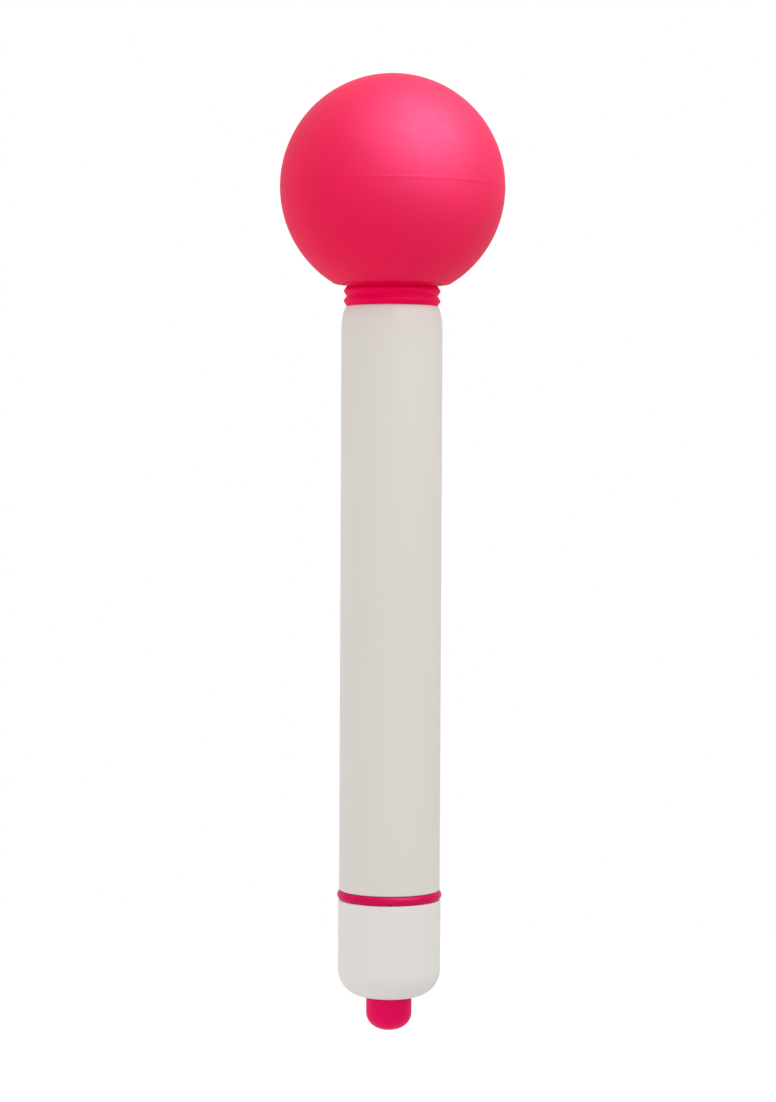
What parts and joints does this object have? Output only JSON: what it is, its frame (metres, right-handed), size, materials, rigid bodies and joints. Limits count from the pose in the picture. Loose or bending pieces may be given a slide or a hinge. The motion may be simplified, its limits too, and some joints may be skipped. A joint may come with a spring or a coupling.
{
  "type": "handheld wand massager",
  "caption": "Wand massager: a soft ball head on a flexible ribbed neck, a straight battery handle, and a screw cap with a push button in its end.",
  "frame": {"origin": "centre of the straight handle tube, on its axis, halfway along its length", "axes": "+Z along the handle towards the ball; the push button is at -Z; +X and +Y are across the handle, and the contact strip runs along the +Y side"},
  "size_m": [0.05, 0.05, 0.213],
  "materials": {
    "ball_silicone": "matte soft-touch pink",
    "neck_silicone": "matte pink",
    "seal_silicone": "satin pink",
    "button_plastic": "satin pink",
    "ivory_plastic": "satin off-white",
    "shell_plastic": "moulded, matte",
    "nylon": "natural nylon, matte",
    "liner_plastic": "matte dark grey",
    "cell_can": "printed foil sleeve, plain",
    "brass_contacts": "stamped",
    "copper": "enamelled copper",
    "spring_steel": "drawn wire",
    "screw_steel": "zinc plated",
    "motor_steel": "plated",
    "sintered_bronze": "sintered",
    "ferrite": "matte ferrite",
    "weight_brass": "turned",
    "foam_rubber": "closed-cell",
    "red_insulation": "satin",
    "black_insulation": "satin",
    "board": "solder mask",
    "black_plastic": "moulded",
    "white_plastic": "moulded",
    "ceramic_parts": "ceramic"
  },
  "bodies": {
    "handle": {"handle_tube": "ivory_plastic", "neck_base": "nylon", "neck_base_nut": "nylon", "battery_sleeve": "liner_plastic", "battery_lower": "cell_can", "battery_upper": "cell_can", "contact_strip": "brass_contacts", "contact_carrier": "nylon", "positive_contact": "brass_contacts"},
    "neck": {"neck_sleeve": "neck_silicone", "neck_spring": "spring_steel", "motor_lead_red": "red_insulation", "motor_lead_black": "black_insulation"},
    "head": {"head_skin": "ball_silicone", "head_shell_lower": "shell_plastic", "head_shell_upper": "shell_plastic", "head_screws": "screw_steel", "neck_plug": "nylon", "neck_plug_nut": "nylon", "motor_can": "motor_steel", "motor_end_cap": "nylon", "motor_terminals": "brass_contacts", "motor_brushes": "brass_contacts", "motor_bushings": "sintered_bronze", "motor_magnets": "ferrite", "motor_damper": "foam_rubber", "motor_cradle": "shell_plastic"},
    "rotor": {"motor_shaft": "motor_steel", "armature_core": "motor_steel", "armature_windings": "copper", "commutator": "copper", "eccentric_weight": "weight_brass"},
    "seal": {"seal_ring": "seal_silicone"},
    "cap": {"cap_shell": "ivory_plastic", "threaded_collar": "nylon", "switch_pcb": "board", "pcb_screws": "screw_steel", "battery_spring": "spring_steel", "cap_contact_ring": "brass_contacts", "switch_body": "black_plastic", "switch_pins": "motor_steel", "control_chip": "black_plastic", "pcb_passives": "ceramic_parts"},
    "button": {"button_cap": "button_plastic", "switch_plunger": "white_plastic", "switch_spring": "spring_steel"}
  },
  "joints": [
    {"name": "neck_flex_fore_aft", "type": "hinge", "parent": "handle", "child": "neck", "pos_m": [0, 0, 0.06775], "axis": [1, 0, 0], "range_deg": [-10, 10], "stiffness_Nm_per_rad": 1, "deforming": ["neck_sleeve", "neck_spring", "motor_lead_red", "motor_lead_black"]},
    {"name": "neck_flex_side", "type": "hinge", "parent": "neck", "child": "head", "pos_m": [0, 0, 0.06905], "axis": [0, 1, 0], "range_deg": [-10, 10], "stiffness_Nm_per_rad": 1, "deforming": ["neck_sleeve", "neck_spring", "motor_lead_red", "motor_lead_black"]},
    {"name": "rotor_spin", "type": "hinge", "parent": "head", "child": "rotor", "pos_m": [0, 0, 0.09145], "axis": [0, 0, 1], "continuous": true},
    {"name": "cap_travel", "type": "slide", "parent": "handle", "child": "seal", "axis": [0, 0, -1], "range_m": [0, 0.0105]},
    {"name": "cap_turn", "type": "hinge", "parent": "seal", "child": "cap", "pos_m": [0, 0, -0.06615], "axis": [0, 0, -1], "range_deg": [0, 630]},
    {"name": "button_press", "type": "slide", "parent": "cap", "child": "button", "axis": [0, 0, 1], "range_m": [0, 0.0012], "stiffness_N_per_m": 2000, "springref_m": -0.0005, "deforming": ["switch_spring"]}
  ],
  "couplings": [
    {"joint": "cap_turn", "follows": "cap_travel", "rad_per_m": 1047.2}
  ]
}
